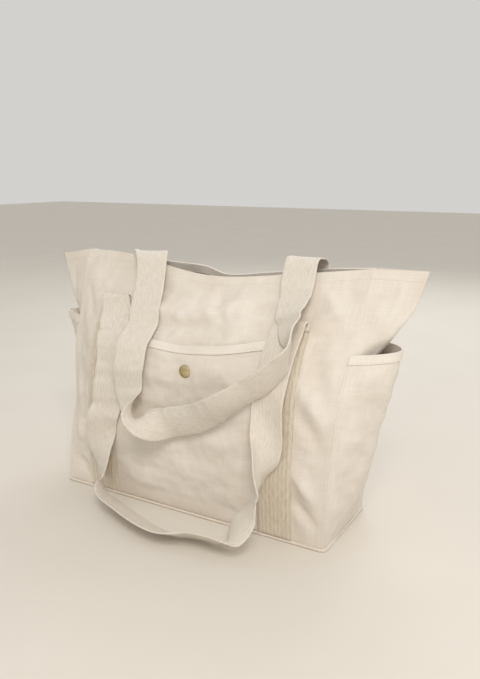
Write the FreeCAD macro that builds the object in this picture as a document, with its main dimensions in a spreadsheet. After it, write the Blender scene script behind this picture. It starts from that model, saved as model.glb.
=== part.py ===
import FreeCAD, Part
import math
import os
import Sketcher

# Canvas tote bag. Row frame: origin on the floor under the middle of the base,
# +X to the wearer's side (width), -Y to the front panel with the pocket, +Z up.

os.makedirs("parts", exist_ok=True)
doc = FreeCAD.newDocument("ToteBag")
sheet = doc.addObject("Spreadsheet::Sheet", "Sizes")

SIZES = {
    # the cloth shell
    "canvas": 1.2,
    "base_width": 352,
    "base_depth": 114,
    "box_height": 185,
    "box_width": 374.4,
    "rim_height": 286,
    "rim_width": 384,
    "rim_front": 14,
    "rim_back": 22,
    "front_bow": 18,
    "back_bow": 16,
    "wing_reach": 39,
    "fold_reach": 1.2,
    "hem_depth": 12,
    "hem_cloth": 1.0,
    "hem_play": 0.3,
    "sewn_gap": 0.2,
    # how far two faces that must not coincide pass each other, and a cut passes its wall
    "lap": 0.1,
    "cut_past": 1,
    # the piping round the base
    "piping": 3.4,
    # the front pocket and its snap
    "pocket_width": 197,
    "pocket_foot": 5,
    "pocket_height": 200,
    "pocket_gap": 3.4,
    "pocket_lean": 7.8,
    "band_depth": 10,
    "snap_place": 9,
    "snap_height": 173,
    "cap_radius": 7.2,
    "cap_dome": 2.6,
    "cap_edge": 0.7,
    "socket_radius": 5.2,
    "socket_depth": 2.2,
    "socket_bevel": 0.4,
    "socket_lip": 0.6,
    "plate_inset": 0.4,
    "ball_radius": 1.9,
    "ball_play": 0.45,
    "ball_neck": 0.3,
    "ball_middle": 0.9,
    "ball_height": 1.6,
    "ball_flat": 1.14,
    "shank_radius": 1.5,
    "eyelet_radius": 1.7,
    "flange": 0.6,
    # the side pockets
    "side_foot": 5.5,
    "side_mouth": 207,
    "side_reach": 36.5,
    "side_sag": 2.5,
    "side_spread": 4.9,
    "side_fold": 1.6,
    "side_inset": 3.5,
    "side_taper": 10.5,
    # the webbing
    "webbing": 38,
    "webbing_depth": 2.2,
    "webbing_gap": 0.4,
    "webbing_place": 118,
    "webbing_foot": 4.2,
    "fold_height": 238,
    "front_lean": 27.6,
    "back_top": 283,
    "back_lean": 22,
}
for row, (alias, size) in enumerate(SIZES.items(), start=1):
    sheet.set(f"A{row}", alias)
    sheet.set(f"B{row}", str(size))
    sheet.setAlias(f"B{row}", alias)
doc.recompute()


def number(text):
    """The value of a sheet expression, in millimetres."""
    return float(sheet.evalExpression(text))


def size(alias):
    return SIZES[alias]


def new_body(label):
    body = doc.addObject("PartDesign::Body", label)
    body.Label = label
    return body


def new_sketch(body, name, plane, offset):
    """A sketch on one of the body's own origin planes, moved along its normal."""
    sketch = body.newObject("Sketcher::SketchObject", name)
    feature = [f for f in body.Origin.OriginFeatures if f.Role == plane][0]
    sketch.AttachmentSupport = [(feature, "")]
    sketch.MapMode = "FlatFace"
    sketch.setExpression("AttachmentOffset.Base.z", offset)
    return sketch


def bind(sketch, kind, where, text):
    """One dimension of a sketch, driven by the sheet."""
    index = sketch.addConstraint(Sketcher.Constraint(kind, *where, number(text)))
    sketch.setExpression(f"Constraints[{index}]", text)


def pin_point(sketch, edge, end, place):
    bind(sketch, "DistanceX", (-1, 1, edge, end), place[0])
    bind(sketch, "DistanceY", (-1, 1, edge, end), place[1])


def polygon(sketch, places):
    """A closed outline of straight edges, each corner driven by the sheet."""
    corners = [FreeCAD.Vector(number(x), number(y), 0) for x, y in places]
    first = sketch.GeometryCount
    count = len(corners)
    for i in range(count):
        sketch.addGeometry(Part.LineSegment(corners[i], corners[(i + 1) % count]), False)
    for i in range(count):
        after = first + (i + 1) % count
        sketch.addConstraint(Sketcher.Constraint("Coincident", first + i, 2, after, 1))
        pin_point(sketch, first + i, 1, places[i])


def circle(sketch, radius, centre=("0", "0")):
    middle = FreeCAD.Vector(number(centre[0]), number(centre[1]), 0)
    edge = sketch.GeometryCount
    sketch.addGeometry(Part.Circle(middle, FreeCAD.Vector(0, 0, 1), number(radius)), False)
    pin_point(sketch, edge, 3, centre)
    bind(sketch, "Radius", (edge,), radius)


def bowed_strip(sketch, half, outer, inner, bow, side):
    """A thin strip across the bag whose middle bows out by bow on the given side (-1 front)."""
    radius = f"(({bow})^2 + ({half})^2) / (2 * ({bow}))"
    reach = number(radius)
    half_now = number(half)
    edges = []
    for y_text, ends in ((outer, (-1, 1)), (inner, (1, -1))):
        y = number(y_text)
        middle = FreeCAD.Vector(0, y - side * math.sqrt(reach**2 - half_now**2), 0)
        start = FreeCAD.Vector(ends[0] * half_now, y, 0)
        crown = FreeCAD.Vector(0, middle.y + side * reach, 0)
        stop = FreeCAD.Vector(ends[1] * half_now, y, 0)
        edges.append(sketch.addGeometry(Part.Arc(start, crown, stop), False))
        sketch.addConstraint(Sketcher.Constraint("PointOnObject", edges[-1], 3, -2))
        bind(sketch, "Radius", (edges[-1],), radius)
        for end in (1, 2):
            at = sketch.getPoint(edges[-1], end)
            sign = "" if at.x > 0 else "-"
            bind(sketch, "DistanceX", (-1, 1, edges[-1], end), f"{sign}({half})")
        bind(sketch, "DistanceY", (-1, 1, edges[-1], 1), y_text)
    for a, b in ((edges[0], edges[1]), (edges[1], edges[0])):
        ends = []
        for edge, x_sign in ((a, 1 if a == edges[0] else -1), (b, 1 if a == edges[0] else -1)):
            here = 1 if sketch.getPoint(edge, 1).x * x_sign > 0 else 2
            ends.append((edge, here))
        line = sketch.addGeometry(
            Part.LineSegment(sketch.getPoint(*ends[0]), sketch.getPoint(*ends[1])), False
        )
        sketch.addConstraint(Sketcher.Constraint("Coincident", line, 1, *ends[0]))
        sketch.addConstraint(Sketcher.Constraint("Coincident", line, 2, *ends[1]))


def loft(body, sections):
    feature = body.newObject("PartDesign::AdditiveLoft", body.Label + "_cloth")
    feature.Profile = sections[0]
    feature.Sections = sections[1:]
    feature.Ruled = True
    return feature


def pad(body, sketch, length):
    feature = body.newObject("PartDesign::Pad", sketch.Name + "_pad")
    feature.Profile = sketch
    feature.setExpression("Length", length)
    return feature


# ---------------------------------------------------------------- front and back panels
def straight_strip(sketch, half, outer, inner):
    polygon(sketch, [(f"-({half})", outer), (half, outer), (half, inner), (f"-({half})", inner)])


def panel(label, side, rim, bow):
    """A panel that stands upright to the box height, then leans in to a bowed rim."""
    body = new_body(label)
    into = "+" if side < 0 else "-"
    face = f"{side} * Sizes.base_depth / 2"
    base = new_sketch(body, label + "_base", "XY_Plane", "0")
    straight_strip(base, "Sizes.base_width / 2", face, f"{face} {into} Sizes.canvas")
    waist = new_sketch(body, label + "_waist", "XY_Plane", "Sizes.box_height")
    straight_strip(waist, "Sizes.box_width / 2", face, f"{face} {into} Sizes.canvas")
    top = new_sketch(body, label + "_rim", "XY_Plane", "Sizes.rim_height")
    bowed_strip(top, "Sizes.rim_width / 2", rim, f"{rim} {into} Sizes.canvas", bow, side)
    loft(body, [base, waist, top])
    return body


front_panel = panel("front_panel", -1, "Sizes.rim_front", "Sizes.front_bow")
back_panel = panel("back_panel", 1, "Sizes.rim_back", "Sizes.back_bow")

# the eyelet for the snap's post
eyelet = new_sketch(front_panel, "eyelet", "XZ_Plane", "Sizes.base_depth / 2 + Sizes.cut_past")
circle(eyelet, "Sizes.eyelet_radius", ("Sizes.snap_place", "Sizes.snap_height"))
eyelet_cut = front_panel.newObject("PartDesign::Pocket", "eyelet_cut")
eyelet_cut.Profile = eyelet
eyelet_cut.setExpression("Length", "Sizes.canvas + 2 * Sizes.cut_past")


def rim_hem(label, side, rim, bow):
    """The turned-in hem that lies on the inside of a panel along its rim."""
    body = new_body(label)
    into = "+" if side < 0 else "-"
    part = "Sizes.hem_depth / (Sizes.rim_height - Sizes.box_height)"
    face = f"{side} * Sizes.base_depth / 2"
    skin = "Sizes.canvas + Sizes.sewn_gap"
    sections = []
    for name, share in (("lower", part), ("upper", "0")):
        level = f"Sizes.rim_height - ({share}) * (Sizes.rim_height - Sizes.box_height)"
        half = f"Sizes.rim_width / 2 - ({share}) * (Sizes.rim_width - Sizes.box_width) / 2 - Sizes.hem_play"
        outer = f"{rim} - ({share}) * ({rim} - ({face})) {into} ({skin})"
        inner = f"{outer} {into} Sizes.hem_cloth"
        sketch = new_sketch(body, f"{label}_{name}", "XY_Plane", level)
        bowed_strip(sketch, half, outer, inner, f"(1 - ({share})) * {bow}", side)
        sections.append(sketch)
    loft(body, sections)
    return body


front_rim_hem = rim_hem("front_rim_hem", -1, "Sizes.rim_front", "Sizes.front_bow")
back_rim_hem = rim_hem("back_rim_hem", 1, "Sizes.rim_back", "Sizes.back_bow")


# ---------------------------------------------------------------- gussets
def chevron(sketch, side, seam, fold, front, back, cloth):
    """A folded strip in plan: from the front seam out to the fold and back to the back seam.

    seam and fold are distances from the middle of the bag to the strip's inner face,
    front and back are the Y of its two ends."""
    middle = f"(({front}) + ({back})) / 2"
    # the outer face is one cloth further out, measured square to the slanting cloth
    run = f"sqrt((({fold}) - ({seam}))^2 + ((({back}) - ({front})) / 2)^2)"
    slant = f"({cloth}) * {run} / ((({back}) - ({front})) / 2)"
    inner = [(seam, front), (fold, middle), (seam, back)]
    outer = [(f"({x}) + {slant}", y) for x, y in reversed(inner)]
    polygon(sketch, [(f"{side} * ({x})", y) for x, y in inner + outer])


def gusset(label, side):
    body = new_body(label)
    cloth = "Sizes.canvas"
    half_depth = "Sizes.base_depth / 2"
    levels = (
        ("base", "0", "Sizes.base_width / 2", "0", f"-({half_depth})", half_depth),
        ("waist", "Sizes.box_height", "Sizes.box_width / 2", "Sizes.fold_reach",
         f"-({half_depth})", half_depth),
        ("rim", "Sizes.rim_height", "Sizes.rim_width / 2", "Sizes.wing_reach",
         "Sizes.rim_front + Sizes.canvas", "Sizes.rim_back - Sizes.canvas"),
    )
    sections = []
    for name, level, seam, reach, front, back in levels:
        sketch = new_sketch(body, f"{label}_{name}", "XY_Plane", level)
        chevron(sketch, side, seam, f"{seam} + {reach}", front, back, cloth)
        sections.append(sketch)
    loft(body, sections)
    return body


left_gusset = gusset("left_gusset", -1)
right_gusset = gusset("right_gusset", 1)

# ---------------------------------------------------------------- base
bottom_panel = new_body("bottom_panel")
floor_cut = new_sketch(bottom_panel, "floor_cut", "XY_Plane", "0")
base_inside = ("Sizes.base_width / 2 - Sizes.lap",
               "Sizes.base_depth / 2 - Sizes.canvas - Sizes.lap")
polygon(floor_cut, [
    (f"-({base_inside[0]})", f"-({base_inside[1]})"),
    (base_inside[0], f"-({base_inside[1]})"),
    (base_inside[0], base_inside[1]),
    (f"-({base_inside[0]})", base_inside[1]),
])
pad(bottom_panel, floor_cut, "Sizes.canvas")

base_piping = new_body("base_piping")
ring = new_sketch(base_piping, "piping_plan", "XY_Plane", "0")
inner_half = ("Sizes.base_width / 2 + Sizes.canvas + Sizes.sewn_gap",
              "Sizes.base_depth / 2 + Sizes.sewn_gap")
for grow in ("Sizes.piping", "0"):
    x_text = f"{inner_half[0]} + {grow}"
    y_text = f"{inner_half[1]} + {grow}"
    polygon(ring, [
        (f"-({x_text})", f"-({y_text})"),
        (x_text, f"-({y_text})"),
        (x_text, y_text),
        (f"-({x_text})", y_text),
    ])
ring_pad = pad(base_piping, ring, "Sizes.piping")
doc.recompute()


def upright_corners(feature, reach):
    """The four upright edges of a padded frame at its outermost corners."""
    names = []
    for i, edge in enumerate(feature.Shape.Edges, start=1):
        ends = [v.Point for v in edge.Vertexes]
        upright = len(ends) == 2 and (ends[0] - ends[1]).cross(FreeCAD.Vector(0, 0, 1)).Length < 1e-6
        if upright and abs(ends[0].x) > reach:
            names.append(f"Edge{i}")
    return names


rounding = base_piping.newObject("PartDesign::Fillet", "piping_corners")
rounding.Base = (ring_pad, upright_corners(ring_pad, number(inner_half[0]) + 1))
rounding.setExpression("Radius", "Sizes.piping - Sizes.sewn_gap")

# ---------------------------------------------------------------- front pocket
POCKET_FACE = "-Sizes.base_depth / 2 - Sizes.pocket_gap"


def leaning_strip(body, name, start, width, face, depth, foot, top, lean):
    """A flat strip padded across X whose profile is upright to the box height, then leans in."""
    sketch = new_sketch(body, name, "YZ_Plane", start)
    waist = "Sizes.box_height"
    places = [(face, foot), (face, waist), (f"{face} + {lean}", top),
              (f"{face} + {lean} - ({depth})", top), (f"{face} - ({depth})", waist),
              (f"{face} - ({depth})", foot)]
    polygon(sketch, places)
    return pad(body, sketch, width)


front_pocket = new_body("front_pocket")
leaning_strip(front_pocket, "pocket_profile", "-Sizes.pocket_width / 2", "Sizes.pocket_width",
              POCKET_FACE, "Sizes.canvas", "Sizes.pocket_foot", "Sizes.pocket_height",
              "Sizes.pocket_lean")
pocket_eyelet = new_sketch(front_pocket, "pocket_eyelet", "XZ_Plane",
                           f"-({POCKET_FACE}) + Sizes.canvas + Sizes.cut_past")
circle(pocket_eyelet, "Sizes.eyelet_radius", ("Sizes.snap_place", "Sizes.snap_height"))
pocket_cut = front_pocket.newObject("PartDesign::Pocket", "pocket_eyelet_cut")
pocket_cut.Profile = pocket_eyelet
pocket_cut.setExpression("Length", "Sizes.canvas + 2 * Sizes.cut_past")

# the pocket's hem is a second layer turned to the outside of its mouth
front_pocket_hem = new_body("front_pocket_hem")
hem_profile = new_sketch(front_pocket_hem, "pocket_hem_profile", "YZ_Plane",
                         "-Sizes.pocket_width / 2")
hem_face = f"({POCKET_FACE} - Sizes.canvas - Sizes.sewn_gap)"
hem_share = "(Sizes.band_depth / (Sizes.pocket_height - Sizes.box_height))"
hem_low = f"{hem_face} + (1 - {hem_share}) * Sizes.pocket_lean"
hem_high = f"{hem_face} + Sizes.pocket_lean"
hem_foot = "Sizes.pocket_height - Sizes.band_depth"
polygon(hem_profile, [
    (hem_low, hem_foot), (hem_high, "Sizes.pocket_height"),
    (f"{hem_high} - Sizes.hem_cloth", "Sizes.pocket_height"),
    (f"{hem_low} - Sizes.hem_cloth", hem_foot),
])
pad(front_pocket_hem, hem_profile, "Sizes.pocket_width")


# ---------------------------------------------------------------- snap
def turned(label, profile):
    """A round piece turned about the snap's axis, which runs from front to back.

    profile holds (Y, distance from the axis) pairs."""
    body = new_body(label)
    sketch = new_sketch(body, label + "_profile", "YZ_Plane", "Sizes.snap_place")
    polygon(sketch, [(y, f"Sizes.snap_height + {r}") for y, r in profile])
    axis = sketch.addGeometry(Part.LineSegment(
        FreeCAD.Vector(-80, number("Sizes.snap_height"), 0),
        FreeCAD.Vector(-40, number("Sizes.snap_height"), 0)), True)
    pin_point(sketch, axis, 1, ("-80", "Sizes.snap_height"))
    pin_point(sketch, axis, 2, ("-40", "Sizes.snap_height"))
    feature = body.newObject("PartDesign::Revolution", label + "_turned")
    feature.Profile = sketch
    feature.ReferenceAxis = (sketch, ["Axis0"])
    feature.Angle = 360
    return body


outside = f"({POCKET_FACE} - Sizes.canvas)"
inside = f"({POCKET_FACE})"
wall = "(-Sizes.base_depth / 2)"
# the dome's steps: (share of its rise above the cap's edge, share of its radius)
DOME = [(1, 0), (0.97, 0.22), (0.87, 0.42), (0.72, 0.6), (0.5, 0.77), (0.24, 0.91), (0, 1)]
snap_cap = turned("snap_cap", [
    *((f"{outside} - Sizes.cap_edge - (Sizes.cap_dome - Sizes.cap_edge) * {rise}",
       f"Sizes.cap_radius * {away}") for rise, away in DOME),
    (outside, "Sizes.cap_radius"),
    (outside, "Sizes.shank_radius"),
    (f"{inside} - Sizes.lap", "Sizes.shank_radius"),
    (f"{inside} - Sizes.lap", "0"),
])
snap_socket = turned("snap_socket", [
    (inside, "Sizes.ball_radius + Sizes.ball_play"),
    (inside, "Sizes.socket_radius"),
    (f"{inside} + Sizes.socket_depth - Sizes.socket_bevel", "Sizes.socket_radius"),
    (f"{inside} + Sizes.socket_depth", "Sizes.socket_radius - Sizes.socket_lip"),
    (f"{inside} + Sizes.socket_depth", "Sizes.ball_radius + Sizes.ball_play"),
])
snap_stud = turned("snap_stud", [
    (wall, "0"),
    (wall, "Sizes.socket_radius - Sizes.plate_inset"),
    (f"{wall} - Sizes.flange", "Sizes.socket_radius - Sizes.plate_inset"),
    (f"{wall} - Sizes.flange", "Sizes.ball_radius - Sizes.ball_neck"),
    (f"{wall} - Sizes.flange - Sizes.ball_middle", "Sizes.ball_radius"),
    (f"{wall} - Sizes.flange - Sizes.ball_height", "Sizes.ball_flat"),
    (f"{wall} - Sizes.flange - Sizes.ball_height", "0"),
])
snap_post = turned("snap_post", [
    (f"{wall} + Sizes.lap", "0"),
    (f"{wall} + Sizes.lap", "Sizes.shank_radius"),
    (f"{wall} + Sizes.canvas", "Sizes.shank_radius"),
    (f"{wall} + Sizes.canvas", "Sizes.socket_radius - Sizes.plate_inset"),
    (f"{wall} + Sizes.canvas + Sizes.flange", "Sizes.socket_radius - 2 * Sizes.plate_inset"),
    (f"{wall} + Sizes.canvas + Sizes.flange", "0"),
])

# ---------------------------------------------------------------- side pockets
SIDE_LOW = {
    "seam": "Sizes.base_width / 2 + Sizes.side_sag",
    "reach": "Sizes.sewn_gap + 0.8",
    "front": "-Sizes.base_depth / 2 + Sizes.side_inset",
    "back": "Sizes.base_depth / 2 - Sizes.side_inset",
}
SIDE_HIGH = {
    "seam": "Sizes.box_width / 2 + Sizes.side_sag + Sizes.side_spread",
    "reach": "Sizes.side_reach",
    "front": "-Sizes.base_depth / 2 + Sizes.side_inset + Sizes.side_taper",
    "back": "Sizes.base_depth / 2 - Sizes.side_inset - Sizes.side_taper",
}


def side_layer(label, side, foot, lift, cloth):
    """A layer of a side pocket from foot to the mouth, lifted off by lift."""
    body = new_body(label)
    share = f"((({foot}) - Sizes.side_foot) / (Sizes.side_mouth - Sizes.side_foot))"
    sections = []
    for name, level, part in (("lower", foot, share), ("mouth", "Sizes.side_mouth", "1")):
        low_to_high = {
            key: f"(({SIDE_LOW[key]}) + {part} * (({SIDE_HIGH[key]}) - ({SIDE_LOW[key]})))"
            for key in SIDE_LOW
        }
        seam = f"{low_to_high['seam']} + {lift}"
        sketch = new_sketch(body, f"{label}_{name}", "XY_Plane", level)
        chevron(sketch, side, seam, f"{seam} + {low_to_high['reach']}",
                low_to_high["front"], low_to_high["back"], cloth)
        sections.append(sketch)
    loft(body, sections)
    return body


for name, side in (("left", -1), ("right", 1)):
    side_layer(name + "_pocket", side, "Sizes.side_foot", "0", "Sizes.canvas")
    # the hem's layer clears the slanting cloth under it
    side_layer(name + "_pocket_hem", side, "Sizes.side_mouth - Sizes.band_depth",
               "Sizes.canvas * Sizes.side_fold", "Sizes.hem_cloth")

# ---------------------------------------------------------------- sewn webbing
for name, side in (("left", -1), ("right", 1)):
    start = f"{side} * Sizes.webbing_place - Sizes.webbing / 2"
    body = new_body(f"front_{name}_webbing")
    leaning_strip(body, f"front_{name}_profile", start, "Sizes.webbing",
                  "-Sizes.base_depth / 2 - Sizes.webbing_gap", "Sizes.webbing_depth",
                  "Sizes.webbing_foot", "Sizes.fold_height", "Sizes.front_lean")
    body = new_body(f"back_{name}_webbing")
    leaning_strip(body, f"back_{name}_profile", start, "Sizes.webbing",
                  "Sizes.base_depth / 2 + Sizes.webbing_gap", "-Sizes.webbing_depth",
                  "Sizes.webbing_foot", "Sizes.back_top", "-Sizes.back_lean")

# ---------------------------------------------------------------- free webbing
# Each stretch is a list of stations chosen along its middle line: the place of the
# middle, then the direction across the webbing from one edge to the other.
FRONT_LOOP = [
    ((-119, -34.6, 237), (1, 0, 0)),
    ((-121, -65, 188), (1, 0, 0)),
    ((-125, -65, 120), (1, 0, 0)),
    ((-127, -68, 74), (1, 0, 0)),
    ((-123, -80, 40), (0.8, -0.6, 0)),
    ((-110, -89, 14), (0.45, -0.85, 0.25)),
    ((-75, -96, 7), (0.1, -0.95, 0.2)),
    ((-20, -106, 7), (0.05, -0.96, 0.25)),
    ((25, -111, 7), (-0.05, -0.96, 0.25)),
    ((62, -104, 8), (-0.2, -0.94, 0.25)),
    ((86, -97, 16), (-0.4, -0.88, 0.25)),
    ((96, -88, 42), (-0.75, -0.66, 0)),
    ((95, -78, 80), (-1, -0.2, 0)),
    ((96, -72, 125), (-1, 0, 0)),
    ((104, -71, 188), (-1, 0, 0)),
    ((112, -34.6, 237), (-1, 0, 0)),
]
BACK_LOOP = [
    ((-77, -4.5, 289), (1, 0, 0)),
    ((-79, -38, 236), (1, 0, 0)),
    ((-84, -75, 187), (1, 0, 0)),
    ((-90, -78, 148), (1, 0, 0.05)),
    ((-82, -79, 117), (0.8, 0, 0.6)),
    ((-55, -80, 101), (0.35, 0, 0.94)),
    ((-15, -80, 102), (-0.1, 0, 1)),
    ((30, -80, 121), (-0.45, 0, 0.89)),
    ((70, -80, 150), (-0.6, 0, 0.8)),
    ((98, -80, 184), (-0.8, 0, 0.6)),
    ((112, -72, 213), (-0.97, 0, 0.24)),
    ((116, -42, 246), (-1, 0, 0)),
    ((117, -4.5, 289), (-1, 0, 0)),
]
CROSSINGS = {
    "back_handle_left_crossing": [
        ((-108, 35, 289), (1, 0, 0)), ((-96, 22, 293), (1, 0, 0)),
        ((-84, 8, 293.5), (1, 0, 0)), ((-78, -3, 291.5), (1, 0, 0)),
    ],
    "back_handle_right_crossing": [
        ((112, 35, 289), (-1, 0, 0)), ((114, 22, 294), (-1, 0, 0)),
        ((116, 8, 295), (-1, 0, 0)), ((117, -3, 291.5), (-1, 0, 0)),
    ],
}


def station_wire(stations, index):
    """The webbing's cross-section at a station, square to its middle line."""
    places = [FreeCAD.Vector(*place) for place, _ in stations]
    ahead = places[min(index + 1, len(places) - 1)] - places[max(index - 1, 0)]
    across = FreeCAD.Vector(*stations[index][1]).normalize()
    through = ahead.cross(across).normalize() * (size("webbing_depth") / 2)
    across = across * (size("webbing") / 2)
    corners = [places[index] + a + b for a, b in (
        (-across, -through), (across, -through), (across, through), (-across, through))]
    return Part.makePolygon(corners + corners[:1])


def free_webbing(label, stations):
    feature = doc.addObject("Part::Feature", label)
    feature.Label = label
    wires = [station_wire(stations, i) for i in range(len(stations))]
    feature.Shape = Part.makeLoft(wires, True, True)
    feature.Placement = FreeCAD.Placement()
    return feature


free_webbing("front_handle_loop", FRONT_LOOP)
free_webbing("back_handle_loop", BACK_LOOP)
for label, stations in CROSSINGS.items():
    free_webbing(label, stations)

# ---------------------------------------------------------------- check and write
doc.recompute()
for item in doc.Objects:
    if "Invalid" in item.State or "Error" in item.State:
        raise RuntimeError(f"{item.Label} failed: {item.State}")
NODE_KINDS = ("PartDesign::Body", "Part::Feature")
for item in doc.Objects:
    if item.TypeId not in NODE_KINDS:
        continue
    shape = item.Shape
    if shape.isNull() or not shape.isValid() or not shape.Solids:
        raise RuntimeError(f"{item.Label} has no valid solid")
    shape.exportStep(f"parts/{item.Label}.step")
    box = shape.BoundBox
    print(f"{item.Label:28s} {shape.Volume:10.1f} mm3  x {box.XMin:.1f}..{box.XMax:.1f}"
          f"  y {box.YMin:.1f}..{box.YMax:.1f}  z {box.ZMin:.1f}..{box.ZMax:.1f}")
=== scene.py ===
import math

import bpy
import numpy as np
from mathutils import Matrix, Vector, noise
from mathutils.bvhtree import BVHTree


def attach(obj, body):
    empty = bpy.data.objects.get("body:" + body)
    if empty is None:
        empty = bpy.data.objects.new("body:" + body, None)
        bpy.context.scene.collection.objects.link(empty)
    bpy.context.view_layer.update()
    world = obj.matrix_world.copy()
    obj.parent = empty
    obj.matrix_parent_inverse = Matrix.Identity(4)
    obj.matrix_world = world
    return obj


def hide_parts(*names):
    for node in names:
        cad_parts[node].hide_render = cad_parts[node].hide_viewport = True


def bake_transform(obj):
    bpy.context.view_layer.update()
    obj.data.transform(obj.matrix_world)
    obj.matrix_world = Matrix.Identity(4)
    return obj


# Canvas tote bag, half full of air and standing on its base: front and back panels, two
# gussets that fold out into wings, a base with piping, three patch pockets and two webbing
# handles that have dropped forwards. Shapes are written in millimetres and made in metres.
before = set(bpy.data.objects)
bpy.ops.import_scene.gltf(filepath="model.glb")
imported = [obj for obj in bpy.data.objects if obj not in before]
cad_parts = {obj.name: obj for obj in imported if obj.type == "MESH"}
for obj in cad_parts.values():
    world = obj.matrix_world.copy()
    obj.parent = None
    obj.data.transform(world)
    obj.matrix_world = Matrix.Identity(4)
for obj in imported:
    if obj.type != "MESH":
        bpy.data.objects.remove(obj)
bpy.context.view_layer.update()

MM = 0.001
CANVAS = 1.1          # cloth thickness
WEBBING = 38          # webbing width
WEBBING_DEPTH = 1.9
HEM_CLOTH = 0.9       # thickness of a turned hem's second layer
HEM_ROWS = 5          # rows at the top of a grid that its hem band covers
PIPING_RADIUS = 1.7
PIPING_PROUD = 1.5    # how far the piping's middle is outside the foot of the walls
WEBBING_COLUMN = 118  # how far the sewn webbing is from the bag's middle, across


# ---------------------------------------------------------------- lines and sheets
def line_through(points, count):
    """count places, evenly spaced, along a smooth line through the points."""
    p = np.array(points, float)
    p = np.vstack([2 * p[0] - p[1], p, 2 * p[-1] - p[-2]])
    t = np.linspace(0, 1, 24, endpoint=False)[:, None]
    parts = []
    for a, b, c, d in zip(p[:-3], p[1:-2], p[2:-1], p[3:]):
        parts.append(0.5 * (2 * b + (c - a) * t + (2 * a - 5 * b + 4 * c - d) * t**2
                            + (3 * b - a - 3 * c + d) * t**3))
    dense = np.vstack(parts + [p[-2:-1]])
    gone = np.concatenate([[0], np.cumsum(np.linalg.norm(np.diff(dense[:, :3], axis=0), axis=1))])
    at = np.linspace(0, gone[-1], count)
    return np.stack([np.interp(at, gone, dense[:, k]) for k in range(dense.shape[1])], axis=1)


def spread(columns, across, up):
    """A grid of places, rows from foot to top, smooth through the given upright columns."""
    uprights = [line_through(column, up + 1) for column in columns]
    return np.stack([line_through([c[row] for c in uprights], across + 1)
                     for row in range(up + 1)])


def lengths_along(line):
    """How far along a line each of its places is."""
    return np.concatenate([[0], np.cumsum(np.linalg.norm(np.diff(line, axis=0), axis=1))])


def square_to(places, across):
    """The way ahead at each place, and the direction across made square to it."""
    ahead = np.gradient(np.array(places, float), axis=0)
    ahead /= np.linalg.norm(ahead, axis=1, keepdims=True)
    w = np.array(across, float)
    w = w - ahead * (w * ahead).sum(1, keepdims=True)
    return ahead, w / np.linalg.norm(w, axis=1, keepdims=True)


def outward(grid):
    """The grid's normals, right-handed from across to up."""
    across = np.gradient(grid, axis=1)
    up = np.gradient(grid, axis=0)
    n = np.cross(across, up)
    return n / np.maximum(np.linalg.norm(n, axis=2, keepdims=True), 1e-9)


def rumple(grid, folds=(), swell=1.2, reach=55.0, seed=0.0, hold=(1, 1, 1, 1), crease=0.0):
    """Pushes a grid in and out: given folds, then slow uneven waves from the seed.

    A fold is (a, b, width, height): a ridge from a to b, in the grid's own 0..1 places
    across and up. hold is how firmly the foot, top, first and last edge are held, and crease
    how firmly the middle upright is."""
    rows, cols = grid.shape[:2]
    v, u = np.meshgrid(np.linspace(0, 1, rows), np.linspace(0, 1, cols), indexing="ij")
    wide = np.linalg.norm(np.diff(grid[rows // 2], axis=0), axis=1).sum()
    tall = np.linalg.norm(np.diff(grid[:, cols // 2], axis=0), axis=1).sum()
    lift = np.zeros((rows, cols))
    for a, b, width, height in folds:
        a_mm = np.array([a[0] * wide, a[1] * tall])
        run = np.array([b[0] * wide, b[1] * tall]) - a_mm
        to = np.stack([u * wide - a_mm[0], v * tall - a_mm[1]], axis=2)
        share = np.clip(to @ run / (run @ run), 0, 1)
        away = np.linalg.norm(to - share[..., None] * run, axis=2)
        taper = 0.25 + 0.75 * np.sin(np.pi * np.clip(share, 0.02, 0.98))
        lift += height * taper * np.exp(-((away / width) ** 2))
    waves = np.zeros((rows, cols))
    for i in range(rows):
        for j in range(cols):
            place = Vector(grid[i, j] / reach) + Vector((seed, seed * 1.7, -seed))
            waves[i, j] = noise.fractal(place, 0.8, 2.1, 3)
    edges = (v, 1 - v, u, 1 - u)
    lengths = (tall, tall, wide, wide)
    held_width, crease_width = 14.0, 16.0
    grip = np.ones((rows, cols))
    for held, edge, length in zip(hold, edges, lengths):
        if held:
            grip *= 1 - held * np.exp(-((edge * length / held_width) ** 2))
    grip *= 1 - crease * np.exp(-(((u - 0.5) * wide / crease_width) ** 2))
    return grid + outward(grid) * ((lift + swell * waves) * grip)[..., None]


def make_mesh(name, verts, faces, material, uvs=None):
    """A named mesh object from places in millimetres and, for each corner, a UV in metres."""
    mesh = bpy.data.meshes.new(name)
    mesh.from_pydata([tuple(p * MM) for p in verts], [], faces)
    if uvs is not None:
        layer = mesh.uv_layers.new(name="cloth")
        flat = [c for face in faces for c in face]
        layer.data.foreach_set("uv", np.array([uvs[i] for i in flat], float).ravel() * MM)
    mesh.polygons.foreach_set("use_smooth", [True] * len(mesh.polygons))
    mesh.materials.append(material)
    mesh.update()
    piece = bpy.data.objects.new(name, mesh)
    bpy.context.scene.collection.objects.link(piece)
    return piece


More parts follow.
